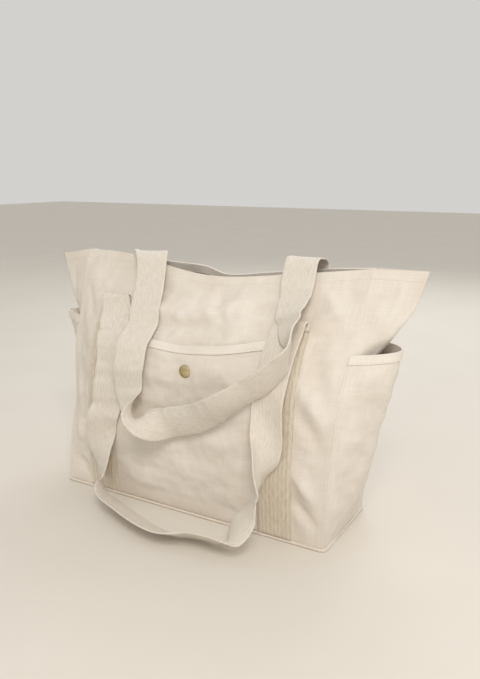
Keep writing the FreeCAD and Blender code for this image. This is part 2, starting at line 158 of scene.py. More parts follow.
def cloth_from(name, grid, material, thickness=CANVAS, flip=False):
    """A closed sheet of cloth over a grid: its face, its back a thickness further in, and the
    walls round its border, which meet both at a sharp edge."""
    rows, cols = grid.shape[:2]
    size = rows * cols
    back = grid - outward(grid) * (-thickness if flip else thickness)
    verts = np.vstack([grid.reshape(-1, 3), back.reshape(-1, 3)])
    u = lengths_along(grid[rows // 2])
    v = lengths_along(grid[:, cols // 2])
    uvs = [(u[j], v[i]) for i in range(rows) for j in range(cols)] * 2
    faces = []
    for i in range(rows - 1):
        for j in range(cols - 1):
            a = i * cols + j
            faces.append((a, a + 1, a + cols + 1, a + cols))
            faces.append((a + cols + size, a + cols + 1 + size, a + 1 + size, a + size))
    border = list(range(cols)) + [i * cols + cols - 1 for i in range(1, rows)]
    border += [(rows - 1) * cols + j for j in range(cols - 2, -1, -1)]
    border += [i * cols for i in range(rows - 2, 0, -1)]
    rim = set()
    for p, q in zip(border, border[1:] + border[:1]):
        faces.append((q, p, p + size, q + size))
        rim.add((min(p, q), max(p, q)))
        rim.add((min(p, q) + size, max(p, q) + size))
    if flip:
        faces = [face[::-1] for face in faces]
    piece = make_mesh(name, verts, faces, material, uvs)
    sharp = [tuple(sorted(edge.vertices)) in rim for edge in piece.data.edges]
    piece.data.edges.foreach_set("use_edge_sharp", sharp)
    return piece


def strip(name, places, across, cups, width, depth, material, v_start=0.0):
    """Flat webbing along a line, with rounded edges. At each place: the direction across it,
    and its cup, the angle in radians through which its width curls."""
    p = np.array(places, float)
    ahead, w = square_to(p, across)
    face = np.cross(w, ahead)
    half, thin = width / 2, depth / 2
    flattest = 0.02
    # half of the section, edge to edge: a flat face with a fuller, rounded selvedge
    over = [(-half, 0.0), (-half + 0.35, 0.75), (-half + 1.2, 1.08), (-half + 3.0, 1.0),
            (-half * 0.6, 0.96), (-half * 0.3, 0.96), (0.0, 1.0), (half * 0.3, 0.96),
            (half * 0.6, 0.96), (half - 3.0, 1.0), (half - 1.2, 1.08), (half - 0.35, 0.75),
            (half, 0.0)]
    ring = over + [(x, -y) for x, y in over[-2:0:-1]]
    run = lengths_along(p) + v_start
    verts, faces, uvs = [], [], []
    size = len(ring)
    for i in range(len(p)):
        curl = cups[i] if abs(cups[i]) > flattest else flattest
        radius = width / curl
        middle = radius * (1 - math.cos(curl / 2)) / 2
        for x, y in ring:
            angle = x / radius
            side = (radius + y * thin) * math.sin(angle)
            rise = middle - radius * (1 - math.cos(angle)) + y * thin * math.cos(angle)
            verts.append(p[i] + w[i] * side + face[i] * rise)
            uvs.append((x + half, run[i]))
    for i in range(len(p) - 1):
        for k in range(size):
            a, b = i * size + k, i * size + (k + 1) % size
            faces.append((a, a + size, b + size, b))
    faces.append(tuple(range(size)))
    faces.append(tuple(reversed(range((len(p) - 1) * size, len(p) * size))))
    return make_mesh(name, verts, faces, material, uvs), run[-1]


def surface_tree(piece):
    """A piece's surface, ready to be measured to."""
    mesh = piece.data
    return BVHTree.FromPolygons([v.co for v in mesh.vertices],
                                [tuple(f.vertices) for f in mesh.polygons])


def touch(tree, start, way):
    """Where a ray from start along way (millimetres) meets the surface, and its normal."""
    hit, normal, _, _ = tree.ray_cast(Vector(start) * MM, Vector(way))
    if hit is None:
        hit, normal, _, _ = tree.find_nearest(Vector(start) * MM)
    return np.array(hit) / MM, np.array(normal)


# ---------------------------------------------------------------- finishes
def linear(code):
    """An sRGB hex colour as the linear colour that a shader takes."""
    parts = [int(code[i:i + 2], 16) / 255 for i in (0, 2, 4)]
    return [c / 12.92 if c <= 0.04045 else ((c + 0.055) / 1.055) ** 2.4 for c in parts] + [1.0]


def put(tree, kind, settings=None, inputs=None):
    """Adds a node with its settings, and sets or links its inputs."""
    node = tree.nodes.new(kind)
    for name, value in (settings or {}).items():
        setattr(node, name, value)
    for key, value in (inputs or {}).items():
        if isinstance(value, bpy.types.NodeSocket):
            tree.links.new(value, node.inputs[key])
        else:
            node.inputs[key].default_value = value
    return node


def start_finish(name, roughness, sheen=0.0):
    """A new material with its node tree and its shader; sheen is the fuzz of loose fibres."""
    material = bpy.data.materials.new(name)
    material.use_nodes = True
    tree = material.node_tree
    shader = tree.nodes["Principled BSDF"]
    shader.inputs["Roughness"].default_value = roughness
    if sheen:
        shader.inputs["Sheen Weight"].default_value = sheen
        shader.inputs["Sheen Roughness"].default_value = 0.6
    return material, tree, shader


def woven(name, light, dark, thread, tilt=0.0, bump=0.25, roughness=0.9):
    """Plain-weave cotton canvas: matt, a fine grid of threads with thicker slubs here and there.

    The real threads are about 0.6 mm apart, finer than shows, so thread is drawn wider."""
    band_scale = 0.314      # the wave scale that gives one band to the metre
    material, tree, shader = start_finish(name, roughness, sheen=0.12)
    uv = put(tree, "ShaderNodeTexCoord").outputs["UV"]
    turned = put(tree, "ShaderNodeMapping", inputs={"Vector": uv, "Rotation": (0, 0, tilt)})
    place = turned.outputs["Vector"]
    waves = []
    for axis in ("X", "Y"):
        wave = put(tree, "ShaderNodeTexWave",
                   {"wave_type": "BANDS", "bands_direction": axis},
                   {"Vector": place, "Scale": band_scale / (thread * MM), "Distortion": 0.6,
                    "Detail": 1.0, "Detail Scale": 2.0})
        waves.append(wave.outputs["Fac"])
    weave = put(tree, "ShaderNodeMath", {"operation": "MULTIPLY"}, {0: waves[0], 1: waves[1]})
    slubs = []
    for stretch in ((30.0, 900.0, 1.0), (900.0, 30.0, 1.0)):
        drawn = put(tree, "ShaderNodeMapping", inputs={"Vector": place, "Scale": stretch})
        slub = put(tree, "ShaderNodeTexNoise", inputs={"Vector": drawn.outputs["Vector"],
                                                       "Scale": 1.0, "Detail": 2.0})
        slubs.append(slub.outputs["Fac"])
    slubby = put(tree, "ShaderNodeMath", {"operation": "ADD"}, {0: slubs[0], 1: slubs[1]})
    blotch = put(tree, "ShaderNodeTexNoise", inputs={"Vector": place, "Scale": 22.0,
                                                     "Detail": 4.0, "Roughness": 0.6})
    mixed = put(tree, "ShaderNodeMath", {"operation": "MULTIPLY_ADD"},
                {0: slubby.outputs[0], 1: 0.45, 2: blotch.outputs["Fac"]})
    tone = put(tree, "ShaderNodeMapRange",
               inputs={"Value": mixed.outputs[0], "From Min": 0.6, "From Max": 1.3})
    colour = put(tree, "ShaderNodeMix", {"data_type": "RGBA"},
                 {"Factor": tone.outputs[0], 6: linear(dark), 7: linear(light)})
    tree.links.new(colour.outputs[2], shader.inputs["Base Color"])
    height = put(tree, "ShaderNodeMath", {"operation": "MULTIPLY_ADD"},
                 {0: slubby.outputs[0], 1: 0.5, 2: weave.outputs[0]})
    raised = put(tree, "ShaderNodeBump", inputs={"Height": height.outputs[0], "Strength": bump,
                                                 "Distance": 0.0006})
    tree.links.new(raised.outputs[0], shader.inputs["Normal"])
    return material


def herringbone(name, light, dark, column, pitch, roughness=0.88):
    """Heavy cotton webbing: herringbone columns down its length between two plain selvedges.

    Its real yarns are about 1 mm apart, too fine to show, so pitch draws them about twice as
    wide. column is the width of two neighbouring columns, which climb opposite ways."""
    material, tree, shader = start_finish(name, roughness, sheen=0.15)
    uv = put(tree, "ShaderNodeTexCoord").outputs["UV"]
    parts = put(tree, "ShaderNodeSeparateXYZ", inputs={0: uv})
    # each yarn climbs to one side of its column and down the other
    side = put(tree, "ShaderNodeMath", {"operation": "PINGPONG"},
               {0: parts.outputs["X"], 1: column * MM / 2})
    climb = put(tree, "ShaderNodeMath", {"operation": "ADD"},
                {0: side.outputs[0], 1: parts.outputs["Y"]})
    turns = put(tree, "ShaderNodeMath", {"operation": "MULTIPLY"},
                {0: climb.outputs[0], 1: 2 * math.pi / (pitch * MM)})
    yarn = put(tree, "ShaderNodeMath", {"operation": "SINE"}, {0: turns.outputs[0]})
    column_turn = put(tree, "ShaderNodeMath", {"operation": "MULTIPLY"},
                      {0: parts.outputs["X"], 1: 2 * math.pi / (column * MM / 2)})
    groove = put(tree, "ShaderNodeMath", {"operation": "COSINE"}, {0: column_turn.outputs[0]})
    relief = put(tree, "ShaderNodeMath", {"operation": "MULTIPLY_ADD"},
                 {0: groove.outputs[0], 1: -0.45, 2: yarn.outputs[0]})
    drawn = put(tree, "ShaderNodeMapping", inputs={"Vector": uv, "Scale": (500.0, 120.0, 1.0)})
    fuzz = put(tree, "ShaderNodeTexNoise", inputs={"Vector": drawn.outputs["Vector"],
                                                   "Scale": 1.0, "Detail": 3.0})
    shade = put(tree, "ShaderNodeMath", {"operation": "MULTIPLY_ADD"},
                {0: relief.outputs[0], 1: 0.22, 2: fuzz.outputs["Fac"]})
    tone = put(tree, "ShaderNodeMapRange",
               inputs={"Value": shade.outputs[0], "From Min": 0.2, "From Max": 0.8})
    colour = put(tree, "ShaderNodeMix", {"data_type": "RGBA"},
                 {"Factor": tone.outputs[0], 6: linear(dark), 7: linear(light)})
    tree.links.new(colour.outputs[2], shader.inputs["Base Color"])
    raised = put(tree, "ShaderNodeBump", inputs={"Height": relief.outputs[0], "Strength": 0.5,
                                                 "Distance": 0.0005})
    tree.links.new(raised.outputs[0], shader.inputs["Normal"])
    return material


def thread_finish():
    """Waxed polyester sewing thread: cream, with a slight gloss and a tight twist."""
    material, tree, shader = start_finish("cream_sewing_thread", 0.55, sheen=0.1)
    place = put(tree, "ShaderNodeTexCoord").outputs["Object"]
    twist = put(tree, "ShaderNodeTexNoise", inputs={"Vector": place, "Scale": 2500.0})
    colour = put(tree, "ShaderNodeMix", {"data_type": "RGBA"},
                 {"Factor": twist.outputs["Fac"], 6: linear("d6ccbc"), 7: linear("f1ebe0")})
    tree.links.new(colour.outputs[2], shader.inputs["Base Color"])
    return material


def antique_brass():
    """Stamped brass with a thin antique plating, mottled at random. Its colour is painted lighter
    where its face looks at the camera and browner where it turns away: a painted highlight on the
    crown and painted shade towards its edge."""
    material, tree, shader = start_finish("antique_brass", 0.22)
    shader.inputs["Metallic"].default_value = 1.0
    # painted highlight and shade: the colour follows how squarely each face looks at the camera
    painted_facing_shade = put(tree, "ShaderNodeLayerWeight", inputs={"Blend": 0.35})
    place = put(tree, "ShaderNodeTexCoord").outputs["Object"]
    smoke = put(tree, "ShaderNodeTexNoise", inputs={"Vector": place, "Scale": 260.0})
    mixed = put(tree, "ShaderNodeMath", {"operation": "MULTIPLY_ADD"},
                {0: smoke.outputs["Fac"], 1: 0.25, 2: painted_facing_shade.outputs["Facing"]})
    tone = put(tree, "ShaderNodeMapRange",
               inputs={"Value": mixed.outputs[0], "From Min": 0.15, "From Max": 0.8})
    colour = put(tree, "ShaderNodeMix", {"data_type": "RGBA"},
                 {"Factor": tone.outputs[0], 6: linear("dccba0"), 7: linear("7d6840")})
    tree.links.new(colour.outputs[2], shader.inputs["Base Color"])
    return material


def pale_floor():
    """A seamless matt paper floor."""
    material, tree, shader = start_finish("pale_paper_floor", 0.8)
    place = put(tree, "ShaderNodeTexCoord").outputs["Object"]
    grain = put(tree, "ShaderNodeTexNoise", inputs={"Vector": place, "Scale": 6.0})
    colour = put(tree, "ShaderNodeMix", {"data_type": "RGBA"},
                 {"Factor": grain.outputs["Fac"], 6: linear("dcd6cc"), 7: linear("e2dcd3")})
    tree.links.new(colour.outputs[2], shader.inputs["Base Color"])
    return material


canvas = woven("natural_cotton_canvas", "ebe4da", "d9cec0", 1.3)
hem_canvas = woven("turned_canvas_hem", "efe9e0", "e0d6c9", 1.3)
cord_canvas = woven("piping_canvas", "e9e0d4", "d6cab9", 1.3, tilt=0.785)
webbing = herringbone("herringbone_cotton_webbing", "e9e0d1", "cabca4", 9.5, 2.4)
strap = herringbone("soft_cotton_webbing", "f0e9de", "dcd2c3", 4.2, 2.0)
thread = thread_finish()
brass = antique_brass()


# ---------------------------------------------------------------- stitches
THREAD_LIFT = 0.1     # how far a stitch's middle is off the cloth


def stitch_tree():
    """Stitches laid along a line: short fat grains of thread with a gap between each two."""
    tree = bpy.data.node_groups.new("stitches", "GeometryNodeTree")
    face = tree.interface
    face.new_socket("Line", in_out="INPUT", socket_type="NodeSocketGeometry")
    for name in ("Stitch length", "Gap", "Thread radius"):
        face.new_socket(name, in_out="INPUT", socket_type="NodeSocketFloat")
    face.new_socket("Thread", in_out="INPUT", socket_type="NodeSocketMaterial")
    face.new_socket("Stitches", in_out="OUTPUT", socket_type="NodeSocketGeometry")
    given = tree.nodes.new("NodeGroupInput").outputs
    curve = put(tree, "GeometryNodeMeshToCurve", inputs={0: given["Line"]})
    pitch = put(tree, "ShaderNodeMath", {"operation": "ADD"},
                {0: given["Stitch length"], 1: given["Gap"]})
    even = put(tree, "GeometryNodeResampleCurve", {"mode": "LENGTH"},
               {"Curve": curve.outputs[0], "Length": pitch.outputs[0]})
    tangent = put(tree, "GeometryNodeInputTangent")
    turn = put(tree, "FunctionNodeAlignRotationToVector", {"axis": "Z"},
               {"Vector": tangent.outputs[0]})
    half = put(tree, "ShaderNodeMath", {"operation": "MULTIPLY"},
               {0: given["Stitch length"], 1: 0.5})
    size = put(tree, "ShaderNodeCombineXYZ", inputs={0: given["Thread radius"],
                                                     1: given["Thread radius"],
                                                     2: half.outputs[0]})
    grain = put(tree, "GeometryNodeMeshUVSphere", inputs={"Segments": 6, "Rings": 5,
                                                          "Radius": 1.0})
    laid = put(tree, "GeometryNodeInstanceOnPoints",
               inputs={"Points": even.outputs[0], "Instance": grain.outputs[0],
                       "Rotation": turn.outputs[0], "Scale": size.outputs[0]})
    real = put(tree, "GeometryNodeRealizeInstances", inputs={0: laid.outputs[0]})
    smooth = put(tree, "GeometryNodeSetShadeSmooth", inputs={"Geometry": real.outputs[0]})
    done = put(tree, "GeometryNodeSetMaterial", inputs={"Geometry": smooth.outputs[0],
                                                        "Material": given["Thread"]})
    out = tree.nodes.new("NodeGroupOutput")
    tree.links.new(done.outputs[0], out.inputs[0])
    return tree


STITCHES = stitch_tree()


def sew(name, lines, stitch=3.0, gap=1.3, radius=0.42):
    """Rows of stitches along lines of places, as one plain mesh."""
    verts, edges = [], []
    for line in lines:
        start = len(verts)
        verts.extend(tuple(np.array(p) * MM) for p in line)
        edges.extend((start + i, start + i + 1) for i in range(len(line) - 1))
    mesh = bpy.data.meshes.new(name + "_line")
    mesh.from_pydata(verts, edges, [])
    guide = bpy.data.objects.new(name + "_line", mesh)
    bpy.context.scene.collection.objects.link(guide)
    modifier = guide.modifiers.new("stitches", "NODES")
    modifier.node_group = STITCHES
    values = {"Stitch length": stitch * MM, "Gap": gap * MM, "Thread radius": radius * MM,
              "Thread": thread}
    for item in STITCHES.interface.items_tree:
        if item.in_out == "INPUT" and item.name in values:
            modifier[item.identifier] = values[item.name]
    depsgraph = bpy.context.evaluated_depsgraph_get()
    made = bpy.data.meshes.new_from_object(guide.evaluated_get(depsgraph))
    bpy.data.objects.remove(guide)
    made.name = name
    piece = bpy.data.objects.new(name, made)
    bpy.context.scene.collection.objects.link(piece)
    return piece


# ---------------------------------------------------------------- the shell
# The four upright seams, foot to rim. The bag leans back a little more on its left.
SEAM_FRONT_LEFT = [(-176, -56, 0), (-179, -47, 55), (-181, -38, 85), (-182, -31, 106),
                   (-185, -25, 155), (-186, -20, 181), (-187, -8, 215), (-189, 1, 245),
                   (-192, 19, 288)]
SEAM_FRONT_RIGHT = [(176, -57, 0), (179, -63, 40), (181, -64, 80), (183, -61, 120),
                    (185, -57, 155), (186, -48, 182), (187, -30, 207), (188, -13, 230),
                    (190, 2, 258), (192, 16, 289)]
SEAM_BACK_LEFT = [(-176, 56, 0), (-181, 58, 80), (-184, 56, 150), (-187, 50, 200),
                  (-189, 40, 245), (-192, 27, 288)]
SEAM_BACK_RIGHT = [(176, 56, 0), (181, 58, 80), (184, 56, 150), (188, 50, 200),
                   (190, 40, 245), (192, 25, 289)]

front_columns = [
    SEAM_FRONT_LEFT,
    [(-118, -56, 0), (-118, -60, 60), (-119, -58, 120), (-119, -53, 165), (-119, -40, 205),
     (-119, -14, 243), (-120, 2, 265), (-121, 13, 287)],
    [(0, -57, 0), (0, -59.5, 40), (0, -60, 90), (0, -59, 140), (0, -58, 174), (0, -50, 200),
     (0, -30, 228), (0, -10, 250), (2, 3, 270)],
    [(118, -57, 0), (119, -62, 60), (119, -61, 120), (119, -57, 165), (119, -42, 205),
     (120, -20, 238), (121, -5, 261), (123, 7, 281)],
    SEAM_FRONT_RIGHT,
]
back_columns = [
    SEAM_BACK_RIGHT,
    [(118, 57, 0), (119, 60, 70), (119, 59, 140), (119, 53, 200), (119, 45, 245),
     (120, 36, 281.5)],
    [(60, 57, 0), (60, 60, 70), (60, 60, 140), (60, 53, 200), (60, 45, 240),
     (58, 37, 273.5)],
    [(6, 57, 0), (6, 60, 70), (6, 60, 140), (6, 54, 200), (6, 46, 236), (6, 38, 267.5)],
    [(-24, 57, 0), (-24, 60, 70), (-24, 60, 140), (-24, 54, 200), (-24, 45, 240),
     (-24, 36, 276)],
    [(-66, 57, 0), (-66, 60, 70), (-66, 60, 140), (-66, 53, 200), (-66, 45, 242),
     (-66, 37, 277.5)],
    [(-118, 57, 0), (-119, 60, 70), (-119, 59, 140), (-119, 53, 200), (-119, 45, 245),
     (-120, 36, 281)],
    SEAM_BACK_LEFT,
]
front_grid = spread(front_columns, 128, 104)
back_grid = spread(back_columns, 128, 104)

FRONT_FOLDS = [
    # soft waves across the top between the pocket and the rim
    ((0.31, 0.82), (0.50, 0.80), 8, 3.9),
    ((0.47, 0.80), (0.68, 0.88), 9, 5.1),
    ((0.36, 0.75), (0.60, 0.78), 8, -3.9),
    ((0.55, 0.95), (0.60, 0.80), 6, -3.0),
    ((0.26, 0.92), (0.46, 0.90), 7, -3.0),
    ((0.62, 0.84), (0.82, 0.78), 8, 4.5),
    ((0.84, 0.80), (0.99, 0.86), 7, 4.8),
    ((0.86, 0.74), (0.99, 0.78), 6, -3.6),
    ((0.88, 0.93), (0.97, 0.80), 5, 3.0),
    ((0.02, 0.86), (0.10, 0.70), 6, -3.6),
    # pulls down the sides and towards the base corners
    ((0.02, 0.12), (0.14, 0.02), 7, -5.1),
    ((0.03, 0.30), (0.12, 0.16), 8, 3.9),
    ((0.02, 0.55), (0.08, 0.30), 6, 3.9),
    ((0.84, 0.34), (0.98, 0.16), 7, 5.1),
    ((0.86, 0.20), (0.99, 0.08), 6, -4.5),
    ((0.87, 0.52), (0.98, 0.36), 7, -3.6),
    ((0.86, 0.62), (0.95, 0.48), 8, 3.6),
]
BACK_FOLDS = [
    ((0.10, 0.80), (0.40, 0.90), 9, 3.0),
    ((0.45, 0.92), (0.75, 0.82), 8, 2.4),
    ((0.05, 0.20), (0.20, 0.05), 8, -3.0),
    ((0.80, 0.08), (0.96, 0.26), 8, 3.0),
    ((0.40, 0.45), (0.62, 0.20), 10, 2.4),
    ((0.15, 0.60), (0.35, 0.35), 10, -2.4),
]


def held_by_webbing(smooth, rumpled):
    """The rumpled grid, but nearly smooth where the webbing is sewn down at each side."""
    reach, hold = 27.0, 0.93
    off = (np.abs(smooth[..., 0]) - WEBBING_COLUMN) / reach
    return smooth + (rumpled - smooth) * (1 - hold * np.exp(-(off**4)))[..., None]


front_grid = held_by_webbing(
    front_grid, rumple(front_grid, FRONT_FOLDS, 4.0, 40, 3.1, (1, 0.7, 1, 1)))
back_grid = held_by_webbing(
    back_grid, rumple(back_grid, BACK_FOLDS, 3.4, 48, 8.4, (1, 0.7, 1, 1)))

front = cloth_from("front_panel_canvas", front_grid, canvas)
back = cloth_from("back_panel_canvas", back_grid, canvas)


def gusset_columns(side):
    """A gusset's uprights: front seam, half way, the fold, half way, back seam."""
    if side < 0:
        first, last = SEAM_FRONT_LEFT, SEAM_BACK_LEFT
        crease = [(-176, 0, 0), (-181, 8, 90), (-187, 12, 150), (-192, 14, 185),
                  (-206, 14, 207), (-218, 15, 226), (-230, 20, 250), (-244, 26, 279)]
    else:
        first, last = SEAM_FRONT_RIGHT, SEAM_BACK_RIGHT
        crease = [(176, 0, 0), (182, 0, 90), (188, 2, 150), (194, 4, 185),
                  (208, 4, 207), (219, 4, 221), (229, 8, 238), (238, 14, 252),
                  (248, 24, 289)]
    up = 24
    ends = [line_through(line, up + 1) for line in (first, crease, last)]
    columns = []
    for share, bulge in ((0, 0), (0.5, 1), (1, 0), (1.5, 1), (2, 0)):
        a = ends[int(share)]
        b = ends[min(int(share) + 1, 2)]
        line = a + (b - a) * (share - int(share))
        height = np.linspace(0, 1, up + 1)
        # the cloth is a little slack between its seams and the fold
        slack = bulge * 3.0 * np.sin(np.pi * np.clip(height * 1.1, 0, 1))
        line[:, 0] += side * slack
        columns.append(line)
    return columns if side > 0 else columns[::-1]


GUSSET_FOLDS = [
    ((0.25, 0.75), (0.32, 0.98), 5, 2.0),
    ((0.60, 0.70), (0.72, 0.95), 6, -2.2),
    ((0.20, 0.62), (0.45, 0.72), 6, 1.8),
]
left_grid = rumple(spread(gusset_columns(-1), 56, 96), GUSSET_FOLDS, 2.2, 34, 5.2,
                   crease=0.9)
right_grid = rumple(spread(gusset_columns(1), 56, 96), GUSSET_FOLDS, 2.2, 34, 6.6,
                    crease=0.9)
left_side = cloth_from("left_gusset_canvas", left_grid, canvas)
right_side = cloth_from("right_gusset_canvas", right_grid, canvas)

# the base, a flat oblong that meets the four walls and rises a little in its middle
base_steps = np.linspace(0, 1, 33)
base_grid = np.stack([front_grid[0] * (1 - t) + back_grid[0][::-1] * t for t in base_steps])
arch_in = np.sin(np.pi * base_steps)[:, None]
arch_across = np.sin(np.pi * np.linspace(0, 1, base_grid.shape[1]))[None, :]
base_grid[..., 2] = 0.4 + 1.2 * arch_in * arch_across
base = cloth_from("base_canvas", base_grid, canvas, flip=True)

for piece, node, flat, held in (
        (front, "front_panel", (0.384, 0.305), "hung"),
        (back, "back_panel", (0.384, 0.300), "hung"),
        (left_side, "left_gusset", (0.114, 0.300), "folded"),
        (right_side, "right_gusset", (0.114, 0.300), "folded"),
        (base, "bottom_panel", (0.352, 0.114), "laid")):
    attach(piece, "root")
    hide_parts(node)


# ---------------------------------------------------------------- rims
def rim_band(name, grid):
    """The rim's turned-in hem: a second layer inside the panel's top rows."""
    top = grid[-HEM_ROWS:]
    inside = top - outward(top) * (CANVAS + 0.15)
    return cloth_from(name, inside, hem_canvas, HEM_CLOTH)


front_hem = rim_band("front_rim_hem_canvas", front_grid)
back_hem = rim_band("back_rim_hem_canvas", back_grid)
for piece, node in ((front_hem, "front_rim_hem"), (back_hem, "back_rim_hem")):
    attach(piece, "root")
    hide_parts(node)


def row_line(grid, share, lift):
    """A line across a grid at a share of its height, lifted off its face."""
    rows = grid.shape[0] - 1
    low = int(share * rows)
    part = share * rows - low
    high = min(low + 1, rows)
    place = grid[low] * (1 - part) + grid[high] * part
    face = outward(grid)
    return place + (face[low] * (1 - part) + face[high] * part) * lift


def column_line(grid, index, lift):
    """The line of a grid's upright at an index, lifted off its face."""
    return grid[:, index] + outward(grid)[:, index] * lift


HEM_STITCH_SHARE = 1 - 10.5 / 300     # the rim's stitches are 10.5 down a height of about 300
rim_lines = [row_line(grid, HEM_STITCH_SHARE, THREAD_LIFT)
             for grid in (front_grid, back_grid, left_grid, right_grid)]
rim_lines += [row_line(grid, HEM_STITCH_SHARE, -CANVAS - 1.2)
              for grid in (back_grid, front_grid)]
rim_stitches = sew("rim_stitches", rim_lines)
seam_lines = [column_line(grid, index, THREAD_LIFT)[2:]
              for grid in (front_grid, back_grid) for index in (1, -2)]
seam_stitches = sew("seam_stitches", seam_lines, stitch=2.8, gap=1.2, radius=0.34)
for piece in (rim_stitches, seam_stitches):
    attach(piece, "root")


# ---------------------------------------------------------------- piping
def round_loop(name, places, radius, material, sides=10):
    """A round cord laid along a closed loop of places."""
    p = np.array(places, float)
    count = len(p)
    ahead = np.roll(p, -1, axis=0) - np.roll(p, 1, axis=0)
    ahead /= np.linalg.norm(ahead, axis=1, keepdims=True)
    up = np.array([0.0, 0.0, 1.0])
    out = np.cross(ahead, up)
    out /= np.linalg.norm(out, axis=1, keepdims=True)
    over = np.cross(out, ahead)
    run = lengths_along(p)
    verts, uvs, faces = [], [], []
    for i in range(count):
        for k in range(sides):
            a = 2 * math.pi * k / sides
            verts.append(p[i] + (out[i] * math.cos(a) + over[i] * math.sin(a)) * radius)
            uvs.append((radius * a, run[i]))
    for i in range(count):
        j = (i + 1) % count
        for k in range(sides):
            m = (k + 1) % sides
            faces.append((i * sides + k, i * sides + m, j * sides + m, j * sides + k))
    return make_mesh(name, verts, faces, material, uvs)


ring = np.vstack([front_grid[0][:-1], right_grid[0][:-1], back_grid[0][:-1], left_grid[0][:-1]])
grown = []
for i, place in enumerate(ring):
    before, after = ring[i - 1], ring[(i + 1) % len(ring)]
    way = after - before
    away = np.array([way[1], -way[0], 0.0])
    grown.append(place + away / np.linalg.norm(away) * PIPING_PROUD
                 + np.array([0, 0, PIPING_RADIUS]))
for _ in range(2):
    grown = [(grown[i - 1] + 2 * grown[i] + grown[(i + 1) % len(grown)]) / 4
             for i in range(len(grown))]
piping = round_loop("base_piping_cord", grown, PIPING_RADIUS, cord_canvas)
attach(piping, "root")
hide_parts("base_piping")

# ---------------------------------------------------------------- sewn webbing
WELL_OUT = 200        # further out than any cloth
STITCH_IN = 2.6       # how far a row of stitches is in from the webbing's edge
front_tree = surface_tree(front)
back_tree = surface_tree(back)


def climb(tree, side_y, x_line, low, high, lift, count=60):
    """Places up a panel, each lifted off its face, and the face's normals.

    side_y is -1 on the front and 1 on the back; x_line is X at a height of 0 and of 300."""
    places, normals = [], []
    for z in np.linspace(low, high, count):
        x = np.interp(z, [0, 300], x_line)
        place, normal = touch(tree, (x, side_y * WELL_OUT, z), (0, -side_y, 0))
        if normal[1] * side_y < 0:
            normal = -normal
        places.append(place + normal * lift)
        normals.append(normal)
    return np.array(places), np.array(normals)


WEB_LINES = {"front_left": (-118, -111), "front_right": (120, 123),
             "back_left": (-118, -111), "back_right": (118, 115)}
WEB_TOPS = {"front_left": 233.5, "front_right": 226.5, "back_left": 276.5, "back_right": 277.5}
web_tops = {}
web_trees = []
for name, x_line in WEB_LINES.items():
    is_front = name.startswith("front")
    tree = front_tree if is_front else back_tree
    side_y = -1 if is_front else 1
    places, normals = climb(tree, side_y, x_line, 3.5, WEB_TOPS[name], WEBBING_DEPTH / 2 + 0.3)
    # the webbing bridges the small hollows of the cloth under it
    for _ in range(3):
        places[1:-1] = (places[:-2] + 2 * places[1:-1] + places[2:]) / 4
    across = np.tile([1.0, 0.0, 0.0], (len(places), 1))
    piece, _ = strip(name + "_sewn_webbing", places, across, np.zeros(len(places)), WEBBING,
                     WEBBING_DEPTH, webbing)
    web_tops[name] = places[-1]
    if is_front:
        web_trees.append(surface_tree(piece))
    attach(piece, "root")
    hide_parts(name + "_webbing")
    rows = []
    for offset in (-WEBBING / 2 + STITCH_IN, WEBBING / 2 - STITCH_IN):
        rows.append(places + np.array([offset, 0, 0])
                    + normals * (WEBBING_DEPTH / 2 + THREAD_LIFT))
    for down in (-2, -5):
        rows.append([rows[0][down] * (1 - t) + rows[1][down] * t
                     for t in np.linspace(0, 1, 12)])
    stitches = sew(name + "_webbing_stitches", rows, radius=0.38)
    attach(stitches, "root")


# ---------------------------------------------------------------- front pocket
POCKET_HALF = 98.5    # half the pocket's width
POCKET_FOOT = 4
POCKET_ROWS = 48


def up_front(x, top, lift):
    """Places straight up the front panel, from the pocket's foot to a top."""
    return climb(front_tree, -1, (x, x), POCKET_FOOT, top, lift, POCKET_ROWS)[0]


pocket_columns = [up_front(-POCKET_HALF, 203, 0.6)]
for x, top, proud in ((-86, 202.5, 3.2), (-45, 200.5, 3.6), (0, 199, 2.6), (50, 204.5, 3.6),
                      (86, 211, 3.2)):
    line = up_front(x, top, 1.0)
    height = np.linspace(0, 1, len(line))
    line[:, 1] -= proud * np.clip(height / 0.12, 0, 1) ** 0.5
    pocket_columns.append(line)
pocket_columns.append(up_front(POCKET_HALF, 213, 0.6))
pocket_grid = spread(pocket_columns, 96, 84)
POCKET_FOLDS = [
    ((0.08, 0.10), (0.30, 0.30), 9, 1.4),
    ((0.70, 0.25), (0.93, 0.08), 9, 1.6),
    ((0.60, 0.75), (0.95, 0.62), 10, 1.4),
    ((0.05, 0.70), (0.35, 0.62), 10, 1.2),
    ((0.45, 0.10), (0.85, 0.34), 12, 1.8),
    ((0.30, 0.05), (0.55, 0.20), 9, -1.4),
]
pocket_grid = rumple(pocket_grid, POCKET_FOLDS, 2.2, 40, 12.5, (1, 0.4, 1, 1))
# nothing of the pocket goes behind the cloth it is sewn to
for i in range(1, pocket_grid.shape[0]):
    for j in range(pocket_grid.shape[1]):
        x, y, z = pocket_grid[i, j]
        wall, _ = touch(front_tree, (x, -WELL_OUT, z), (0, 1, 0))
        pocket_grid[i, j, 1] = min(y, wall[1] - 1.6)

